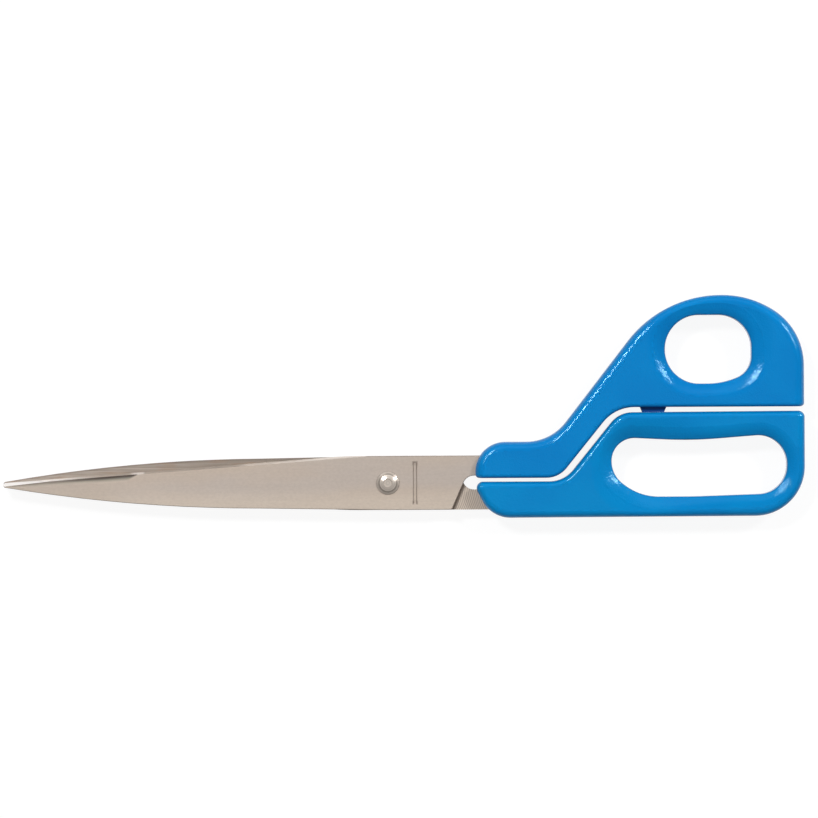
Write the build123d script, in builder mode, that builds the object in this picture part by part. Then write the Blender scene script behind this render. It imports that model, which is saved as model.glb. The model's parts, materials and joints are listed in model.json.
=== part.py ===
from build123d import *
import os
from math import cos, radians, sin, tan

# Long office shears, lying flat on the handles with the blades closed, in millimetres.
# +X runs from the points to the handles, +Y towards the thumb bow and +Z up. The origin is under
# the middle of the whole object. Every outline is drawn about the pivot.

# --- Blades: one stamping used twice, the second one turned over ---
blade_reach = 134.5          # pivot to the points
blade_width = 18.9           # at the pivot
blade_thickness = 1.8
blade_gap = 0.05             # running gap between the inner faces
nose_radius = 0.85           # rounding of the points
nose_drop = 0.2              # its middle, on the spine side of the centre line
edge_angle = 4.25            # cutting edge against the centre line
edge_blend_radius = 150.0    # where the cutting edge runs out into the full width
spine_radius = 540.0         # curved front length of the spine
spine_curve_start = 45.0     # ahead of the pivot
spine_curve_depth = 8.7      # spine to centre line there

bevel_width = 0.7            # cutting bevel, across the outer face
point_bevel_width = 1.25     # it widens towards the point
point_bevel_angle = 1.9      # the wider part against the rest
edge_land = 0.15             # thickness left along the cutting edge
hollow_radius = 200.0        # hollow grind of the inner face
hollow_width = 13.0
hollow_margin = 0.6          # flat land between the hollow and the cutting edge
hollow_end = 14.0            # ahead of the pivot, so that the ride stays flat

relief_start = 92.0          # rounding ground on the outer face behind the point
relief_height = 0.75         # its lower line above the centre line there
relief_angle = 3.2           # its lower line against the centre line
relief_radius = 14.0
relief_end_angle = 31.0      # slant of its rear end
relief_end_slope = 45.0
outer_chamfer = 0.2          # all round the outer face

groove_distance = 9.5        # groove pressed across the blade, behind the pivot
groove_length = 14.7
groove_width = 1.35
groove_depth = 0.25
groove_taper = 45.0

heel_distance = 22.3         # spine corner of the heel, behind the pivot
heel_angle = 66.4            # slanted heel against the centre line
tang_width = 7.0
tang_reach = 56.0            # pivot to the end of the tang
tang_root_radius = 4.0
tang_end_radius = 1.5
anchor_hole_radius = 1.6     # holes that the plastic of the handle fills
anchor_hole_spacing = 10.0
anchor_hole_setback = 7.0    # the last one from the end of the tang

# --- Pivot rivet and washer ---
shank_radius = 2.4
shank_clearance = 0.05       # radial, in the blade that turns
head_radius = 3.9
head_rim = 0.3               # height of the head at its rim
head_height = 1.6
head_clearance = 0.03        # under the head
dimple_radius = 1.25         # at its floor
dimple_depth = 0.45
dimple_taper = 45.0
washer_radius = 4.0
washer_thickness = 0.6
tail_radius = 3.1            # peened over the washer
tail_height = 0.9

# --- Both handles ---
handle_thickness = 10.0
dish_radius = 9.0            # wide rounding that falls towards the finger holes
dish_width = 5.2
dish_lift = 0.03             # its level part above the flat face
dish_edge_radius = 1.0       # from the dish into the wall of the hole
gap_slope_angle = 51.1       # slanted length of the gap between the handles
slope_gap = 2.25             # width of the gap there
rear_gap_front = 1.8         # the rear gap narrows towards the back
rear_gap_back = 1.5

# --- Thumb handle ---
thumb_back = 145.7           # pivot to the back
thumb_top = 65.2
thumb_ear_front = 30.6
thumb_ear_bottom = 1.55
thumb_ear_top = 14.2
thumb_ear_radius = 10.4
thumb_slope_angle = 52.3     # outer side of the arm
thumb_slope_radius = 17.5
thumb_shoulder_radius = 41.0
thumb_crown_angle = 30.0     # fall of the contour behind the crown
thumb_crown_radius = 33.0
thumb_back_radius = 23.0
thumb_flat = 0.6             # straight length left between the curves of the bow
rear_gap_line = 26.1         # underside of the thumb handle along the rear gap
thumb_edge_radius = 3.3      # rounding of the outer contour
thumb_gap_edge_radius = 1.3  # rounding towards the finger handle
thumb_gap_foot = 59.75       # where the gap's slope meets the ear's bottom line
thumb_gap_foot_radius = 9.0
thumb_gap_head_radius = 14.0

thumb_hole_front = 97.05
thumb_hole_back = 127.2
thumb_hole_bottom = 34.25
thumb_hole_top = 58.2
thumb_hole_front_radius = 11.9
thumb_hole_top_radius = 11.5
thumb_hole_rise_start = 117.1    # the lower side rises behind here
thumb_hole_rise_angle = 22.0
thumb_hole_rise_radius = 26.0
thumb_hole_back_radius = 8.0

# --- Finger handle ---
finger_back = 145.8
finger_ear_front = 31.0
finger_ear_top = 0.28
finger_ear_lip = 2.6         # the ear's front falls back below here
finger_ear_lip_radius = 4.0
finger_ear_angle = 62.0      # slanted front of the ear
finger_ear_radius = 11.0
finger_front_bottom = 12.4   # below the centre line, at the ear
finger_rear_bottom = 12.05   # below the centre line, at the back
finger_edge_radius = 2.4         # rounding of the outer contour
finger_gap_edge_radius = 2.2     # rounding towards the thumb handle
finger_gap_foot_radius = 10.8
finger_gap_head_radius = 9.5
finger_heel_radius = 17.4

finger_hole_front = 78.25
finger_hole_back = 139.53
finger_hole_top_front = 15.7
finger_hole_top_back = 16.85
finger_hole_swell = (106.0, 14.27)    # the upper side bulges down against the fingers
finger_hole_swell_radius = 150.0
finger_hole_front_radius = 8.0
finger_hole_back_radius = 10.0
finger_hole_bottom_back = -4.15
finger_hole_floor = (107.0, -5.2)
finger_hole_floor_radius = 120.0
finger_hole_toe = (88.2, -5.2)
finger_hole_toe_radius = 20.0
finger_hole_chin = 2.35
finger_hole_chin_radius = 9.8

# --- Stop buffer, pegged into the thumb handle over the rear gap ---
buffer_distance = 92.9       # its middle, behind the pivot
buffer_width = 9.1
buffer_taper = 0.75          # at each end, from the handle to the tip
buffer_depth = 5.0
buffer_clearance = 0.02      # above the finger handle when closed
peg_width = 5.0
peg_height = 3.5

# --- Places that follow from the sizes ---
half_width = blade_width / 2
inner = blade_gap / 2                  # heights of the front blade above the middle of the gap
outer = inner + blade_thickness
pivot_x = (blade_reach - finger_back) / 2
pivot_y = (finger_front_bottom - thumb_top) / 2
mid_z = handle_thickness / 2
plan = Plane((pivot_x, pivot_y, mid_z))
pivot_axis = Axis((pivot_x, pivot_y, 0), (0, 0, 1))
blade_axis = Axis((pivot_x, pivot_y, mid_z), (1, 0, 0))
hole_radius = shank_radius + shank_clearance


def across(start, angle):
    """Plane square to a line of the plan: local X points outward from the line, local Y is up."""
    along = (cos(radians(angle)), sin(radians(angle)), 0)
    outward = (-sin(radians(angle)), cos(radians(angle)), 0)
    return Plane(plan.from_local_coords(start), x_dir=outward, z_dir=along)


def over(path, shapes):
    """The edges or faces whose middle stands on a path of the plan."""
    chosen = ShapeList()
    for shape in shapes:
        middle = plan.to_local_coords(shape.center())
        if path.distance_to(Vector(middle.X, middle.Y, 0)) < 0.01:
            chosen.append(shape)
    return chosen


def rim(faces):
    """The edges around a group of faces, without those between them."""
    edges = [edge for face in faces for edge in face.edges()]
    return ShapeList(edge for edge in edges if edges.count(edge) == 1)


def dome_radius(radius, height):
    """Radius of the sphere of a dome, from its rim's radius and its height."""
    return (radius**2 + height**2) / (2 * height)


# --- Points of the blade's outline ---
nose_high = (
    -blade_reach + nose_radius * (1 - sin(radians(edge_angle))),
    -nose_drop + nose_radius * cos(radians(edge_angle)),
)
nose_low = (nose_high[0], -2 * nose_drop - nose_high[1])
edge_length = (half_width - nose_high[1]) / sin(radians(edge_angle))
edge_end = nose_high[0] + edge_length * cos(radians(edge_angle))
tang_low = half_width - tang_width
tang_root = heel_distance + (half_width + tang_low) / tan(radians(heel_angle))
edge_plane = across(nose_high, edge_angle)

last_anchor_hole = tang_reach - anchor_hole_setback
anchor_holes = (last_anchor_hole - anchor_hole_spacing, last_anchor_hole)

# --- Stock that the rounding behind the point takes away, up to its slanted rear end ---
end_turn = radians(relief_end_angle)
end_slope = radians(relief_end_slope)
relief_end = Plane(
    plan.from_local_coords((-relief_start, relief_height, outer)),
    z_dir=(-sin(end_turn) * sin(end_slope), cos(end_turn) * sin(end_slope), cos(end_slope)),
)
relief_drop = relief_radius - (relief_radius**2 - half_width**2) ** 0.5
with BuildPart() as relief_stock:
    with BuildSketch(across((-relief_start, relief_height), relief_angle).offset(half_width)):
        with BuildLine():
            RadiusArc((0, outer), (half_width, outer - relief_drop), relief_radius)
            Polyline(
                (half_width, outer - relief_drop),
                (half_width, outer + blade_thickness),
                (0, outer + blade_thickness),
                (0, outer),
            )
        make_face()
    extrude(amount=-blade_reach)
    split(bisect_by=relief_end, keep=Keep.TOP)

# --- Front blade, carried by the thumb handle ---
with BuildPart() as front_blade:
    with BuildSketch(plan.offset(inner)):
        with BuildLine():
            FilletPolyline(
                nose_high,
                (edge_end, half_width),
                (tang_reach, half_width),
                (tang_reach, tang_low),
                (tang_root, tang_low),
                (heel_distance, -half_width),
                radius=[edge_blend_radius, tang_end_radius, tang_end_radius, tang_root_radius],
            )
            Polyline(
                (heel_distance, -half_width),
                (0, -half_width),
                (-spine_curve_start, -spine_curve_depth),
            )
            RadiusArc((-spine_curve_start, -spine_curve_depth), nose_low, spine_radius)
            ThreePointArc(nose_low, (-blade_reach, -nose_drop), nose_high)
        make_face()
        Circle(hole_radius, mode=Mode.SUBTRACT)
        with Locations([(distance, half_width - tang_width / 2) for distance in anchor_holes]):
            Circle(anchor_hole_radius, mode=Mode.SUBTRACT)
    extrude(amount=blade_thickness)
    chamfer(front_blade.faces().sort_by(Axis.Z)[-1].outer_wire().edges(), outer_chamfer)

    # Cutting bevel, wider at the point, which runs out where the blade reaches its full width.
    ground = blade_thickness - edge_land
    above = 2 * blade_thickness
    for turn, width in ((0, bevel_width), (point_bevel_angle, point_bevel_width)):
        with BuildSketch(across(nose_high, edge_angle + turn).offset(-nose_radius)):
            Polygon(
                (0, inner + edge_land),
                (-width * above / ground, inner + edge_land + above),
                (half_width, inner + edge_land + above),
                (half_width, inner + edge_land),
                align=None,
            )
        extrude(amount=blade_reach, mode=Mode.SUBTRACT)

    # Hollow grind of the inner face, along the cutting edge.
    hollow_depth = hollow_radius - (hollow_radius**2 - (hollow_width / 2) ** 2) ** 0.5
    hollow_place = (blade_reach - hollow_end) / cos(radians(edge_angle))
    with BuildSketch(edge_plane.offset(hollow_place)):
        with Locations((-hollow_margin - hollow_width / 2, inner + hollow_depth - hollow_radius)):
            Circle(hollow_radius)
    extrude(amount=-hollow_place - nose_radius, mode=Mode.SUBTRACT)

    add(relief_stock.part, mode=Mode.SUBTRACT)

    # Groove pressed across the blade.
    with BuildSketch(plan.offset(outer)):
        with Locations((groove_distance, 0)):
            SlotOverall(groove_length, groove_width, rotation=90)
    extrude(amount=-groove_depth, taper=groove_taper, mode=Mode.SUBTRACT)
front_blade.part.label = "front_blade"

# --- Rear blade, carried by the finger handle: the same stamping, turned over ---
with BuildPart() as rear_blade:
    add(front_blade.part.rotate(blade_axis, 180))
rear_blade.part.label = "rear_blade"

# --- Stop buffer ---
thumb_gap_head = thumb_gap_foot + (rear_gap_line - thumb_ear_bottom) / tan(radians(gap_slope_angle))


def gap_line(distance):
    """Height of the finger handle's upper side along the rear gap."""
    share = (distance - thumb_gap_head) / (thumb_back - thumb_gap_head)
    return rear_gap_line - rear_gap_front + share * (rear_gap_front - rear_gap_back)


tip_ends = [buffer_distance + side * (buffer_width / 2 - buffer_taper) for side in (-1, 1)]
with BuildPart() as stop_buffer:
    with BuildSketch(plan.offset(-buffer_depth / 2)):
        Polygon(
            (buffer_distance - buffer_width / 2, rear_gap_line),
            (tip_ends[0], gap_line(tip_ends[0]) + buffer_clearance),
            (tip_ends[1], gap_line(tip_ends[1]) + buffer_clearance),
            (buffer_distance + buffer_width / 2, rear_gap_line),
            (buffer_distance + peg_width / 2, rear_gap_line),
            (buffer_distance + peg_width / 2, rear_gap_line + peg_height),
            (buffer_distance - peg_width / 2, rear_gap_line + peg_height),
            (buffer_distance - peg_width / 2, rear_gap_line),
            align=None,
        )
    extrude(amount=buffer_depth)
stop_buffer.part.label = "stop_buffer"

# --- What the finger holes take away: the hole and, on both faces, the dish around it ---
dish_depth = dish_radius - (dish_radius**2 - dish_width**2) ** 0.5 - dish_lift
rise = (thumb_hole_back - thumb_hole_rise_start) * tan(radians(thumb_hole_rise_angle))
with BuildSketch(Plane.XY) as thumb_hole:
    with BuildLine():
        FilletPolyline(
            (thumb_hole_front, thumb_hole_bottom),
            (thumb_hole_rise_start, thumb_hole_bottom),
            (thumb_hole_back, thumb_hole_bottom + rise),
            (thumb_hole_back, thumb_hole_top),
            (thumb_hole_front, thumb_hole_top),
            radius=[
                thumb_hole_front_radius,
                thumb_hole_rise_radius,
                thumb_hole_back_radius,
                thumb_hole_top_radius,
                thumb_hole_front_radius,
            ],
            close=True,
        )
    make_face()

with BuildSketch(Plane.XY) as finger_hole:
    with BuildLine():
        FilletPolyline(
            (finger_hole_front, finger_hole_chin),
            finger_hole_toe,
            finger_hole_floor,
            (finger_hole_back, finger_hole_bottom_back),
            (finger_hole_back, finger_hole_top_back),
            finger_hole_swell,
            (finger_hole_front, finger_hole_top_front),
            radius=[
                finger_hole_chin_radius,
                finger_hole_toe_radius,
                finger_hole_floor_radius,
                finger_hole_back_radius,
                finger_hole_back_radius,
                finger_hole_swell_radius,
                finger_hole_front_radius,
            ],
            close=True,
        )
    make_face()


def opening(hole):
    """The solid of a hole with the dishes around it, from the sketch of its outline."""
    level = plan.offset(mid_z + dish_lift)
    lip_height = 2 * mid_z - dish_depth
    with BuildPart() as cutter:
        with BuildSketch(level):
            add(hole.sketch)
            offset(amount=dish_radius, kind=Kind.INTERSECTION)
        extrude(amount=dish_radius)
        with BuildSketch(level):
            add(hole.sketch)
            offset(amount=dish_width - dish_radius, kind=Kind.INTERSECTION)
        extrude(amount=-2 * dish_radius)
        underside = cutter.faces().filter_by(Axis.Z).sort_by(Axis.Z)[1]
        fillet(underside.inner_wires()[0].edges(), dish_radius)
        with BuildSketch(plan.offset(-2 * dish_radius)):
            add(hole.sketch)
        extrude(amount=3 * dish_radius)
        lip = [edge for edge in cutter.edges() if abs(edge.center().Z - lip_height) < 0.01]
        fillet(lip, dish_edge_radius)
        split(bisect_by=plan, keep=Keep.TOP)
        mirror(about=plan)
    return cutter.part


# --- Thumb handle, moulded over the tang of the front blade ---
crown_tangent = thumb_crown_radius * tan(radians(thumb_crown_angle) / 2)
back_tangent = thumb_back_radius * tan(radians(90 - thumb_crown_angle) / 2)
shoulder_tangent = thumb_shoulder_radius * tan(radians(thumb_slope_angle) / 2)
crown_fall = crown_tangent + thumb_flat + back_tangent
bow_crown = thumb_back - crown_fall * cos(radians(thumb_crown_angle))
crown_drop = crown_fall * sin(radians(thumb_crown_angle))
bow_shoulder = bow_crown - crown_tangent - thumb_flat - shoulder_tangent
slope_foot = bow_shoulder - (thumb_top - thumb_ear_top) / tan(radians(thumb_slope_angle))
with BuildPart() as thumb_handle:
    with BuildSketch(plan.offset(-mid_z)):
        with BuildLine():
            thumb_gap_side = FilletPolyline(
                (thumb_ear_front, thumb_ear_bottom),
                (thumb_gap_foot, thumb_ear_bottom),
                (thumb_gap_head, rear_gap_line),
                (thumb_back, rear_gap_line),
                radius=[thumb_gap_foot_radius, thumb_gap_head_radius],
            )
            FilletPolyline(
                (thumb_back, rear_gap_line),
                (thumb_back, thumb_top - crown_drop),
                (bow_crown, thumb_top),
                (bow_shoulder, thumb_top),
                (slope_foot, thumb_ear_top),
                (thumb_ear_front, thumb_ear_top),
                (thumb_ear_front, thumb_ear_bottom),
                radius=[
                    thumb_back_radius,
                    thumb_crown_radius,
                    thumb_shoulder_radius,
                    thumb_slope_radius,
                    thumb_ear_radius,
                ],
            )
        make_face()
    extrude(amount=handle_thickness)
    flat_faces = thumb_handle.faces().filter_by(Axis.Z)
    inner_edges = over(thumb_gap_side, flat_faces.edges())
    fillet([edge for edge in flat_faces.edges() if edge not in inner_edges], thumb_edge_radius)
    fillet(rim(over(thumb_gap_side, thumb_handle.faces())), thumb_gap_edge_radius)
    add(opening(thumb_hole), mode=Mode.SUBTRACT)
    add(front_blade.part, mode=Mode.SUBTRACT)
    add(stop_buffer.part, mode=Mode.SUBTRACT)
thumb_handle.part.label = "thumb_handle"

# --- Finger handle, moulded over the tang of the rear blade ---
slope_shift = slope_gap / sin(radians(gap_slope_angle))
slope_rate = 1 / tan(radians(gap_slope_angle))
finger_gap_foot = thumb_gap_foot + slope_shift + (finger_ear_top - thumb_ear_bottom) * slope_rate
ear_fall = finger_front_bottom - finger_ear_lip
finger_ear_foot = finger_ear_front + ear_fall / tan(radians(finger_ear_angle))
finger_gap_head = thumb_gap_head + slope_shift - rear_gap_front * slope_rate
with BuildPart() as finger_handle:
    with BuildSketch(plan.offset(-mid_z)):
        with BuildLine():
            finger_gap_side = FilletPolyline(
                (finger_ear_front, finger_ear_top),
                (finger_gap_foot, finger_ear_top),
                (finger_gap_head, gap_line(finger_gap_head)),
                (finger_back, gap_line(finger_back)),
                radius=[finger_gap_foot_radius, finger_gap_head_radius],
            )
            FilletPolyline(
                (finger_back, gap_line(finger_back)),
                (finger_back, -finger_rear_bottom),
                (finger_ear_foot, -finger_front_bottom),
                (finger_ear_front, -finger_ear_lip),
                (finger_ear_front, finger_ear_top),
                radius=[finger_heel_radius, finger_ear_radius, finger_ear_lip_radius],
            )
        make_face()
    extrude(amount=handle_thickness)
    flat_faces = finger_handle.faces().filter_by(Axis.Z)
    inner_edges = over(finger_gap_side, flat_faces.edges())
    fillet([edge for edge in flat_faces.edges() if edge not in inner_edges], finger_edge_radius)
    fillet(rim(over(finger_gap_side, finger_handle.faces())), finger_gap_edge_radius)
    add(opening(finger_hole), mode=Mode.SUBTRACT)
    add(rear_blade.part, mode=Mode.SUBTRACT)
finger_handle.part.label = "finger_handle"

# --- Pivot rivet: domed head in front, shank tight in the rear blade, peened over the washer ---
head_base = outer + head_clearance
head_top = head_base + head_height
crown = head_height - head_rim
washer_face = -outer - washer_thickness
tail_end = washer_face - tail_height
rivet_section = Plane((pivot_x, pivot_y, mid_z), x_dir=(1, 0, 0), z_dir=(0, -1, 0))
with BuildPart() as pivot_rivet:
    with BuildSketch(rivet_section):
        with BuildLine():
            RadiusArc((0, head_top), (head_radius, head_base + head_rim), dome_radius(head_radius, crown))
            Polyline(
                (head_radius, head_base + head_rim),
                (head_radius, head_base),
                (shank_radius, head_base),
                (shank_radius, -inner),
                (hole_radius, -inner),
                (hole_radius, -outer),
                (shank_radius, -outer),
                (shank_radius, washer_face),
                (tail_radius, washer_face),
            )
            RadiusArc((tail_radius, washer_face), (0, tail_end), dome_radius(tail_radius, tail_height))
            Line((0, tail_end), (0, head_top))
        make_face()
    revolve(axis=pivot_axis)
    with BuildSketch(plan.offset(head_top - dimple_depth)):
        Circle(dimple_radius)
    extrude(amount=dimple_depth, taper=-dimple_taper, mode=Mode.SUBTRACT)
pivot_rivet.part.label = "pivot_rivet"

# --- Washer under the peened tail ---
with BuildPart() as rivet_washer:
    with BuildSketch(plan.offset(washer_face)):
        Circle(washer_radius)
        Circle(shank_radius, mode=Mode.SUBTRACT)
    extrude(amount=washer_thickness)
rivet_washer.part.label = "rivet_washer"

os.makedirs("parts", exist_ok=True)
export_step(front_blade.part, "parts/front_blade.step")
export_step(rear_blade.part, "parts/rear_blade.step")
export_step(thumb_handle.part, "parts/thumb_handle.step")
export_step(finger_handle.part, "parts/finger_handle.step")
export_step(stop_buffer.part, "parts/stop_buffer.step")
export_step(pivot_rivet.part, "parts/pivot_rivet.step")
export_step(rivet_washer.part, "parts/rivet_washer.step")
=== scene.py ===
import json
import math

import bpy
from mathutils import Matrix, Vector

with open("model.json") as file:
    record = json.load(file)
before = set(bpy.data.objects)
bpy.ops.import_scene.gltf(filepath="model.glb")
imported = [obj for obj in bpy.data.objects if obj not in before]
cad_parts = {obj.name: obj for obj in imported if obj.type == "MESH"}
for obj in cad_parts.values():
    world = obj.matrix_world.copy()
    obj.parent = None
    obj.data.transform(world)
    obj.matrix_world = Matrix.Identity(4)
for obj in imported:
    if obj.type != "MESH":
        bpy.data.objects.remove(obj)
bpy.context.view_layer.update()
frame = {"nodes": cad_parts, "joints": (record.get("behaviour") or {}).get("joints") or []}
nodes = frame["nodes"]

# The pivot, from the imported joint. Places on the object are told from there in metres, at rest:
# X towards the handles, Y towards the thumb hole and Z up.
PIVOT = Vector(frame["joints"][0]["pos_m"])


# ---------------------------------------------------------------- node helpers
def linear(red, green, blue):
    """A colour given in sRGB bytes, as the linear colour that shaders use."""
    def one(byte):
        value = byte / 255
        return value / 12.92 if value <= 0.04045 else ((value + 0.055) / 1.055) ** 2.4
    return (one(red), one(green), one(blue), 1.0)


class Nodes:
    """Short calls for building one material's node tree."""

    def __init__(self, name):
        self.material = bpy.data.materials.new(name)
        self.material.use_nodes = True
        self.tree = self.material.node_tree
        self.tree.nodes.clear()
        self.output = self.new("ShaderNodeOutputMaterial")

    def new(self, kind, **settings):
        node = self.tree.nodes.new(kind)
        for key, value in settings.items():
            setattr(node, key, value)
        return node

    def put(self, socket, value):
        """Links a node's output to a socket, or sets the socket's own value."""
        if isinstance(value, bpy.types.NodeSocket):
            self.tree.links.new(value, socket)
        else:
            socket.default_value = value

    def math(self, operation, *values):
        node = self.new("ShaderNodeMath", operation=operation)
        for socket, value in zip(node.inputs, values):
            self.put(socket, value)
        return node.outputs[0]

    def both(self, first, second):
        return self.math("MULTIPLY", first, second)

    def less(self, first, second):
        return self.math("SUBTRACT", first, second)

    def ramp(self, value, low, high, to_low, to_high):
        """Maps value smoothly from low..high to to_low..to_high, held at both ends."""
        node = self.new("ShaderNodeMapRange", interpolation_type="SMOOTHSTEP")
        self.put(node.inputs["Value"], value)
        self.put(node.inputs["From Min"], low)
        self.put(node.inputs["From Max"], high)
        self.put(node.inputs["To Min"], to_low)
        self.put(node.inputs["To Max"], to_high)
        return node.outputs["Result"]

    def rise(self, value, low, high, most=1.0):
        return self.ramp(value, low, high, 0.0, most)

    def fall(self, value, low, high, most=1.0):
        return self.ramp(value, low, high, most, 0.0)

    def band(self, value, start, full, hold, end, most=1.0):
        """Rises from start to full, stays until hold and is gone at end."""
        return self.both(self.rise(value, start, full), self.fall(value, hold, end, most))

    def mix(self, share, first, second):
        node = self.new("ShaderNodeMix", data_type="RGBA")
        self.put(node.inputs["Factor"], share)
        self.put(node.inputs["A"], first)
        self.put(node.inputs["B"], second)
        return node.outputs["Result"]

    def vector(self, x, y=0.0, z=0.0):
        node = self.new("ShaderNodeCombineXYZ")
        for socket, value in zip(node.inputs, (x, y, z)):
            self.put(socket, value)
        return node.outputs[0]

    def axes(self, vector):
        node = self.new("ShaderNodeSeparateXYZ")
        self.put(node.inputs[0], vector)
        return node.outputs

    def distance(self, first, second=(0.0, 0.0, 0.0)):
        node = self.new("ShaderNodeVectorMath", operation="DISTANCE")
        self.put(node.inputs[0], first)
        self.put(node.inputs[1], second)
        return node.outputs["Value"]

    def scaled(self, vector, scale):
        node = self.new("ShaderNodeMapping")
        self.put(node.inputs["Vector"], vector)
        self.put(node.inputs["Scale"], scale)
        return node.outputs[0]

    def noise(self, vector, scale=1.0, detail=2.0, roughness=0.5):
        node = self.new("ShaderNodeTexNoise")
        self.put(node.inputs["Vector"], vector)
        self.put(node.inputs["Scale"], scale)
        self.put(node.inputs["Detail"], detail)
        self.put(node.inputs["Roughness"], roughness)
        return node.outputs["Fac"]

    def place(self):
        """Position on the object, from the pivot, in its own rest frame."""
        source = self.new("ShaderNodeTexCoord").outputs["Object"]
        shifted = self.new("ShaderNodeVectorMath", operation="SUBTRACT")
        self.put(shifted.inputs[0], source)
        self.put(shifted.inputs[1], tuple(PIVOT))
        return shifted.outputs[0]

    def facing(self):
        """How squarely the surface faces up or down: 1 on flat faces, 0 on upright ones."""
        normal = self.new("ShaderNodeTexCoord").outputs["Normal"]
        return self.math("ABSOLUTE", self.axes(normal)["Z"])

    def beyond(self, place, middle, straight, radius):
        """Distance in plan outside a rounded rectangle, from its middle, straights and corners."""
        across = []
        for axis, centre, half in zip(self.axes(place), middle, straight):
            away = self.math("ABSOLUTE", self.less(axis, centre))
            across.append(self.math("MAXIMUM", self.less(away, half), 0.0))
        return self.less(self.distance(self.vector(*across)), radius)

    def bump(self, height, distance, below=None):
        node = self.new("ShaderNodeBump")
        self.put(node.inputs["Distance"], distance)
        self.put(node.inputs["Height"], height)
        if below is not None:
            self.put(node.inputs["Normal"], below)
        return node.outputs[0]

    def surface(self, **sockets):
        """The Principled shader that ends the tree."""
        shader = self.new("ShaderNodeBsdfPrincipled")
        for name, value in sockets.items():
            self.put(shader.inputs[name.replace("_", " ")], value)
        self.put(self.output.inputs["Surface"], shader.outputs[0])
        return self.material


# ---------------------------------------------------------------- moulded plastic
# Each finger hole: its middle, half its straight lengths, its corners' radius, and how far back the
# faces lean towards it. The thumb hole's lean ends past the handle, so it goes all the way round.
THUMB_HOLE = {"middle": (0.1134, 0.0483), "straight": (0.0041, 0.0010), "radius": 0.011, "back": 0.190}
FINGER_HOLE = {"middle": (0.1089, 0.0053), "straight": (0.0212, 0.0009), "radius": 0.0095, "back": 0.118}
LEAN_REACH = (0.0005, 0.0077)    # from the hole's outline
LEAN_RISE = 0.001                # height that the bump gives the faces across that reach
LEAN_FADE = 0.028                # length ahead of its back over which the lean dies away

SLOPE_SHADE_TONE = (0.0, 0.05, 0.12, 1.0)    # linear; painted shade, mixed in where the surface turns upright
CYAN_GLOSS = (0.42, 0.8, 1.0, 1.0)       # linear; tint of the plastic's gloss


def moulded_plastic(name, face, shade, roughness, grain, hole=None):
    """Glossy injection-moulded plastic with the fine grain of a spark-eroded mould, and painted shade where
    its roundings turn upright.
    """
    n = Nodes(name)
    place = n.place()
    clouds = n.noise(place, scale=45.0, detail=3.0)
    speckle = n.noise(place, scale=1500.0, detail=3.0, roughness=0.6)
    colour = n.mix(n.rise(clouds, 0.35, 0.65), shade, face)
    # Painted shade: darker where the roundings turn upright.
    colour = n.mix(n.fall(n.facing(), 0.4, 0.9, 0.3), colour, SLOPE_SHADE_TONE)
    lean = None
    if hole is not None:
        # The faces lean a little more towards the hole than their roundings do.
        away = n.beyond(place, hole["middle"], hole["straight"], hole["radius"])
        ahead = n.fall(n.axes(place)["X"], hole["back"] - LEAN_FADE, hole["back"])
        lean = n.bump(n.both(n.rise(away, *LEAN_REACH), ahead), LEAN_RISE)
    return n.surface(
        Base_Color=colour,
        Roughness=n.ramp(speckle, 0.3, 0.7, roughness - 0.05, roughness + 0.06),
        IOR=1.5,
        Specular_IOR_Level=0.4,
        Specular_Tint=CYAN_GLOSS,
        Sheen_Weight=0.12,
        Sheen_Roughness=0.3,
        Normal=n.bump(speckle, grain, below=lean),
    )


# ---------------------------------------------------------------- steel
SATIN_METAL = 0.5    # share of the light that comes back as from bare metal, the rest being scattered

# Both blades are one stamping, the rear one turned over. "edgeward" is measured across the blade,
# towards its cutting edge.
INNER_DEPTH = (0.00016, 0.0003)             # from mid gap: inner faces to the first, the rest past both
BEVEL_FACING = (0.25, 0.30, 0.62, 0.66)     # of the cutting bevel
SLOPE_FACING = (0.66, 0.69, 0.73, 0.80)     # of slopes at 45 degrees: chamfer and groove walls

SPINE_CENTRE = (-0.04313, -0.5313, 0.0)
SPINE_RADIUS = 0.540
EDGE_SLOPE, EDGE_LEVEL = 0.0743, 0.01058        # cutting edge: edgeward = slope * x + level
GROUND_SLOPE, GROUND_LEVEL = 0.0559, 0.00589    # ground area's side towards the spine, the same way
GROUND_SLANT = 1.66                             # ground area's rear end, where slant * edgeward - x
GROUND_END = (0.0926, 0.0942)                   # goes through these

HEEL_X, HEEL_Y, HEEL_LEVEL = 0.916, 0.4, 0.02421    # front blade's heel: X * x = Y * y + level
HEEL_START = (0.012, 0.017)                     # x over which the grinding marks set in
MARK_BOW = 22.0                                 # their shift along x per squared distance from the middle
MARK_PHASE = 9600.0                             # radians per metre: a mark every 0.65 mm
MARK_WAVER = 9.0                                # radians

HEAD_RADIUS = 0.0039                            # of the rivet's head
SHADE_RING_RADIUS = 0.0031                            # of the ring of painted shade on it
GROOVE_X = 0.0095
GROOVE_WALL = 0.00055                           # from the groove's middle line to the middle of its wall
GROOVE_REACH = 0.0078                           # half its length, across the blade

SCATTERED_TONE = (0.04, 0.01, 0.0, 1.0)         # linear


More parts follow.
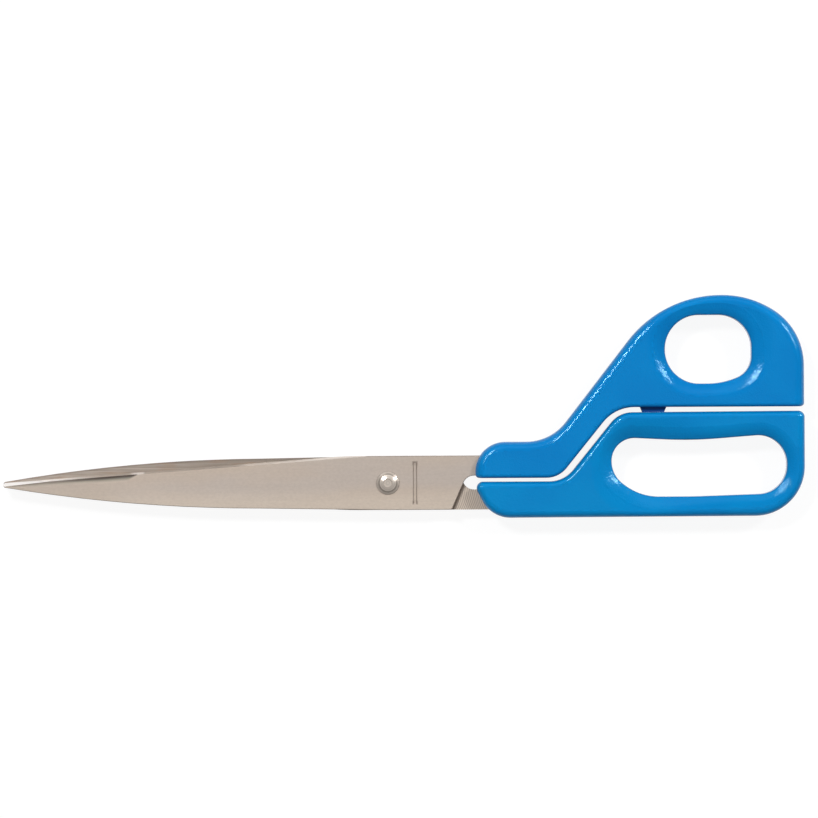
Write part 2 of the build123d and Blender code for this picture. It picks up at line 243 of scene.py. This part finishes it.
class BladeNodes(Nodes):
    """A blade's node tree, with the measures that place its features."""

    def __init__(self, name):
        super().__init__(name)
        self.spot = self.place()
        self.x, self.y, self.z = self.axes(self.spot)
        self.side = self.math("ABSOLUTE", self.y)
        self.edgeward = self.both(self.y, self.math("SIGN", self.z))
        self.off_groove = self.math("ABSOLUTE", self.less(self.x, GROOVE_X))
        depth = self.math("ABSOLUTE", self.z)
        self.inner = self.fall(depth, *INNER_DEPTH)
        self.outer = self.rise(depth, *INNER_DEPTH)
        facing = self.facing()
        self.bevel = self.band(facing, *BEVEL_FACING)
        self.sloping = self.band(facing, *SLOPE_FACING)
        self.streaks = self.stretched((30.0, 1500.0, 1500.0), detail=4.0, roughness=0.65)
        self.lines = self.stretched((60.0, 5200.0, 5200.0))

    def stretched(self, scale, **settings):
        return self.noise(self.scaled(self.spot, scale), **settings)

    def outer_face(self):
        """Brushed lengthwise: lighter towards the spine and a little darker at the point."""
        patches = self.stretched((14.0, 60.0, 60.0), detail=3.0)
        mottle = self.stretched((900.0, 1500.0, 1500.0), detail=3.0, roughness=0.6)
        near_spine = self.fall(self.edgeward, -0.0075, -0.0005, 0.9)
        at_point = self.fall(self.x, -0.102, -0.088, 0.5)
        tone = self.mix(self.rise(patches, 0.38, 0.62), linear(234, 221, 210), linear(239, 222, 206))
        tone = self.mix(near_spine, tone, linear(253, 237, 220))
        tone = self.mix(at_point, tone, linear(234, 217, 199))
        tone = self.mix(self.rise(self.streaks, 0.3, 0.7, 0.06), tone, linear(182, 169, 155))
        return self.mix(self.rise(mottle, 0.3, 0.7, 0.12), tone, linear(171, 157, 146))

    def inner_face(self):
        """Duller and streaked, and darker than the outer faces: partly the ground finish, partly painted
        shade from the front blade. Darker still towards the pivot, with painted shade along the spine's edge
        and brown smudges.
        """
        smudges = self.stretched((110.0, 900.0, 900.0))
        towards_pivot = self.rise(self.x, -0.080, -0.050, 0.7)
        spineward = self.math("MULTIPLY", self.edgeward, -1.0)
        from_spine = self.less(SPINE_RADIUS, self.distance(self.vector(self.x, spineward), SPINE_CENTRE))
        # Painted shade along the spine's rounded edge.
        spine_edge_shade = self.fall(from_spine, 0.0003, 0.0008, 0.35)
        tone = self.mix(self.rise(self.streaks, 0.35, 0.65), linear(198, 185, 173), linear(164, 152, 141))
        tone = self.mix(towards_pivot, tone, linear(160, 149, 137))
        tone = self.mix(spine_edge_shade, tone, linear(120, 112, 106))
        return self.mix(self.rise(smudges, 0.5, 0.7, 0.4), tone, linear(176, 148, 126))

    def heel(self, tone):
        """Grinding marks across the heel, and a painted shadow of the front blade's heel on the rear blade.
        """
        start = self.rise(self.x, *HEEL_START)
        bow = self.math("MULTIPLY", self.both(self.side, self.side), MARK_BOW)
        phase = self.math("MULTIPLY", self.less(self.x, bow), MARK_PHASE)
        waver = self.math("MULTIPLY", self.stretched((260.0, 90.0, 1.0)), MARK_WAVER)
        wave = self.math("SINE", self.math("ADD", phase, waver))
        marks = self.both(start, self.rise(wave, -0.6, 0.9, 0.55))
        tone = self.mix(start, tone, linear(236, 221, 206))
        tone = self.mix(marks, tone, linear(140, 124, 111))
        line = self.math("MULTIPLY_ADD", self.y, HEEL_Y, HEEL_LEVEL)
        behind = self.less(self.math("MULTIPLY", self.x, HEEL_X), line)
        # Painted shadow cast by the front blade's heel on the rear blade.
        heel_shadow = self.band(behind, -0.0004, 0.0, 0.0004, 0.0012, 0.75)
        on_rear_blade = self.fall(self.z, -0.00001, 0.00001)
        return self.mix(self.both(heel_shadow, on_rear_blade), tone, linear(92, 80, 70))

    def ground_area(self, tone):
        """The area ground behind the point, with painted shade over its curve, darkest in painted shade
        along the bevel.
        """
        spine_side = self.math("MULTIPLY_ADD", self.x, GROUND_SLOPE, GROUND_LEVEL)
        from_spine_side = self.less(self.edgeward, spine_side)
        from_edge = self.less(self.math("MULTIPLY_ADD", self.x, EDGE_SLOPE, EDGE_LEVEL), self.edgeward)
        ahead = self.less(self.math("MULTIPLY", self.edgeward, GROUND_SLANT), self.x)
        area = self.both(self.outer, self.rise(ahead, *GROUND_END))
        # Painted shade over the ground area's curve, and a darker line of painted shade along the bevel.
        shaded = self.both(area, self.rise(from_spine_side, 0.0, 0.0015))
        shaded = self.both(shaded, self.ramp(self.x, -0.118, -0.096, 0.5, 0.85))
        bevel_line_shade = self.both(area, self.fall(from_edge, 0.0009, 0.0019))
        bevel_line_shade = self.both(bevel_line_shade, self.ramp(self.x, -0.124, -0.098, 0.4, 0.92))
        tone = self.mix(shaded, tone, linear(136, 136, 125))
        return self.mix(bevel_line_shade, tone, linear(58, 51, 47))

    def cutting_bevel(self, tone):
        """Painted highlights on the cutting bevel: brightest at the point, a painted glint where the ground
        area ends, and lighter from the middle back.
        """
        from_middle = self.rise(self.x, -0.054, -0.048)
        at_point = self.fall(self.x, -0.119, -0.098)
        glint = self.band(self.x, -0.0905, -0.0885, -0.0858, -0.0848, 0.8)
        # Painted highlight: the bevel's tones stand in for its reflections.
        bevel_highlight = self.mix(from_middle, linear(184, 173, 163), linear(225, 214, 204))
        bevel_highlight = self.mix(at_point, bevel_highlight, linear(254, 250, 247))
        bevel_highlight = self.mix(glint, bevel_highlight, linear(250, 244, 240))
        return self.mix(self.bevel, tone, bevel_highlight)

    def rivet_ring_shade(self, tone):
        """Painted shade in a narrow ring on the blade round the rivet's head."""
        from_pivot = self.distance(self.vector(self.x, self.y))
        # Painted shade just outside the rivet's head.
        around = self.both(self.fall(from_pivot, HEAD_RADIUS, HEAD_RADIUS + 0.0004, 0.3), self.outer)
        return self.mix(around, tone, linear(110, 99, 89))

    def groove_edge_shade(self, tone):
        """Painted shade along the pressed groove's edges, heavier at its ends."""
        off_wall = self.math("ABSOLUTE", self.less(self.off_groove, GROOVE_WALL))
        within = self.fall(self.side, GROOVE_REACH - 0.0005, GROOVE_REACH)
        near = self.both(self.both(self.fall(off_wall, 0.0002, 0.0006), within), self.outer)
        weight = self.ramp(self.side, 0.0058, 0.0066, 0.15, 0.55)
        # Painted shade at the groove's edges.
        return self.mix(self.both(near, weight), tone, linear(126, 112, 100))

    def slopes(self, tone):
        """Painted shade on the chamfer and the groove's walls, before the walls get their own tone."""
        # Painted shade on slopes of about 45 degrees.
        return self.mix(self.both(self.sloping, self.outer), tone, linear(170, 156, 142))

    def taken_down(self, tone):
        """Light scattered as from satin steel adds to the tones, so they are taken down for it."""
        share = self.ramp(self.math("MAXIMUM", self.inner, self.bevel), 0.0, 1.0, 0.255, 0.15)
        return self.mix(share, tone, SCATTERED_TONE)

    def groove_wall(self):
        """Where the groove's sloping walls are, and their dull tone of painted shade, lighter at the
        groove's ends.
        """
        near = self.both(self.sloping, self.fall(self.off_groove, 0.0008, 0.0010))
        wall = self.both(near, self.fall(self.side, GROOVE_REACH, GROOVE_REACH + 0.0005))
        at_ends = self.both(self.rise(self.side, 0.0070, 0.0073), self.fall(self.off_groove, 0.0003, 0.0005))
        # Painted shade in the groove's walls, lighter at its ends.
        return wall, self.mix(at_ends, linear(140, 128, 118), linear(192, 179, 167))


def brushed_steel(name):
    """Blade steel: outer faces brushed lengthwise, duller inner faces and bright cutting bevels."""
    n = BladeNodes(name)
    tone = n.mix(n.inner, n.outer_face(), n.heel(n.inner_face()))
    for feature in (n.ground_area, n.cutting_bevel, n.rivet_ring_shade, n.groove_edge_shade, n.slopes, n.taken_down):
        tone = feature(tone)
    wall, wall_tone = n.groove_wall()
    brushed = n.ramp(n.lines, 0.25, 0.75, 0.37, 0.45)
    return n.surface(
        Base_Color=n.mix(wall, tone, wall_tone),
        Metallic=n.fall(wall, 0.0, 1.0, SATIN_METAL),
        Roughness=n.math("ADD", brushed, n.math("MULTIPLY", n.inner, 0.04)),
        Normal=n.bump(n.lines, 0.0000014, below=n.bump(n.streaks, 0.0000018)),
    )


def turned_steel(name):
    """The rivet and its washer: tumbled steel with faint round tool marks and a ring of painted shade near
    the head's rim.
    """
    n = Nodes(name)
    radius = n.distance(n.scaled(n.place(), (1.0, 1.0, 0.0)))
    marks = n.noise(n.vector(radius), scale=2400.0, detail=1.0)
    off_shade_ring = n.math("ABSOLUTE", n.less(radius, SHADE_RING_RADIUS))
    tone = n.mix(n.rise(marks, 0.35, 0.65), linear(222, 211, 200), linear(202, 191, 180))
    # Painted shade in a ring near the head's rim.
    tone = n.mix(n.fall(off_shade_ring, 0.0001, 0.0004, 0.7), tone, linear(126, 115, 105))
    return n.surface(Base_Color=tone, Metallic=SATIN_METAL, Roughness=0.3, Specular_IOR_Level=0.5)


# ---------------------------------------------------------------- finishes
GLOSSY = {"roughness": 0.11, "grain": 0.00009}
MATT = {"roughness": 0.42, "grain": 0.00004}

thumb_blue = moulded_plastic(
    "thumb_blue", linear(0, 126, 196), linear(0, 121, 192), hole=THUMB_HOLE, **GLOSSY
)
finger_blue = moulded_plastic(
    "finger_blue", linear(0, 131, 196), linear(0, 126, 193), hole=FINGER_HOLE, **GLOSSY
)
# The stop buffer's dark navy is painted shade: the handles' blue, darkened for the narrow slot it sits in.
buffer_painted_shade = moulded_plastic("buffer_painted_shade", linear(8, 66, 138), linear(6, 60, 130), **MATT)
blade_steel = brushed_steel("blade_steel")
rivet_steel = turned_steel("rivet_steel")

FINISHES = {
    "front_blade": blade_steel,
    "rear_blade": blade_steel,
    "thumb_handle": thumb_blue,
    "finger_handle": finger_blue,
    "stop_buffer": buffer_painted_shade,
    "pivot_rivet": rivet_steel,
    "rivet_washer": rivet_steel,
}
for name, finish in FINISHES.items():
    mesh = nodes[name].data
    mesh.materials.clear()
    mesh.materials.append(finish)


# ---------------------------------------------------------------- floor
def grey(value):
    return (value, value, value, 1.0)


def pale_floor(half_side, paper, seen_paper, seen_glow):
    """A pale floor: paper to the light, and to the camera and mirrors a glow that keeps the shadow."""
    corners = [(-1, -1), (1, -1), (1, 1), (-1, 1)]
    mesh = bpy.data.meshes.new("floor")
    mesh.from_pydata([(x * half_side, y * half_side, 0.0) for x, y in corners], [], [(0, 1, 2, 3)])
    floor = bpy.data.objects.new("floor", mesh)
    bpy.context.scene.collection.objects.link(floor)
    n = Nodes("floor_white")
    path = n.new("ShaderNodeLightPath")
    shown = n.math("MAXIMUM", path.outputs["Is Camera Ray"], path.outputs["Is Glossy Ray"])
    lit = n.new("ShaderNodeBsdfDiffuse")
    seen = n.new("ShaderNodeBsdfDiffuse")
    glow = n.new("ShaderNodeEmission")
    white = n.new("ShaderNodeAddShader")
    either = n.new("ShaderNodeMixShader")
    n.put(lit.inputs["Color"], grey(paper))
    n.put(seen.inputs["Color"], grey(seen_paper))
    n.put(glow.inputs["Strength"], seen_glow)
    n.put(white.inputs[0], seen.outputs[0])
    n.put(white.inputs[1], glow.outputs[0])
    n.put(either.inputs[0], shown)
    n.put(either.inputs[1], lit.outputs[0])
    n.put(either.inputs[2], white.outputs[0])
    n.put(n.output.inputs["Surface"], either.outputs[0])
    mesh.materials.append(n.material)


pale_floor(half_side=15.0, paper=0.9, seen_paper=0.12, seen_glow=0.91)


# ---------------------------------------------------------------- light
def softbox(name, azimuth, off_axis, distance, size, radiance, shape="RECTANGLE"):
    """A soft lamp aimed at the origin; azimuth in plan, off_axis from straight up, in degrees."""
    lamp = bpy.data.lights.new(name, "AREA")
    lamp.shape = shape
    width, height = size
    lamp.size, lamp.size_y = width, height
    area = width * height * (math.pi / 4 if shape == "ELLIPSE" else 1.0)
    lamp.energy = radiance * math.pi * area
    holder = bpy.data.objects.new(name, lamp)
    a, t = math.radians(azimuth), math.radians(off_axis)
    towards = Vector((math.sin(t) * math.cos(a), math.sin(t) * math.sin(a), math.cos(t)))
    holder.location = towards * distance
    holder.rotation_mode = "QUATERNION"
    holder.rotation_quaternion = towards.to_track_quat("Z", "Y")
    bpy.context.scene.collection.objects.link(holder)


def surroundings(strength):
    """A dim, even room."""
    world = bpy.data.worlds.new("room")
    bpy.context.scene.world = world
    world.use_nodes = True
    background = world.node_tree.nodes["Background"]
    background.inputs["Color"].default_value = (1.0, 0.99, 0.98, 1.0)
    background.inputs["Strength"].default_value = strength


ROUND = {"distance": 1.3, "shape": "ELLIPSE"}
softbox("left_softbox", azimuth=130.0, off_axis=39.0, size=(0.25, 0.22), radiance=74.0, **ROUND)
softbox("right_softbox", azimuth=31.0, off_axis=55.0, size=(0.24, 0.21), radiance=62.0, **ROUND)
softbox("overhead_panel", azimuth=270.0, off_axis=0.0, distance=2.6, size=(1.1, 0.9), radiance=0.285)
softbox("rear_panel", azimuth=90.0, off_axis=50.0, distance=1.3, size=(1.4, 0.6), radiance=0.6)
surroundings(0.25)


# ---------------------------------------------------------------- camera
def overhead_camera(aim, field, height, roll):
    """A long lens straight above aim, whose square field is that wide at aim's level."""
    camera = bpy.data.cameras.new("camera")
    camera.sensor_width = 36.0
    camera.lens = camera.sensor_width * height / field
    camera.clip_start, camera.clip_end = 0.05, 50.0
    holder = bpy.data.objects.new("camera", camera)
    holder.location = aim + Vector((0.0, 0.0, height))
    holder.rotation_euler = (0.0, 0.0, math.radians(roll))
    bpy.context.scene.collection.objects.link(holder)
    bpy.context.scene.camera = holder


overhead_camera(aim=Vector((0.00186, -0.00057, 0.005)), field=0.2863, height=2.0, roll=-0.28)

bpy.context.scene.view_settings.view_transform = "Standard"
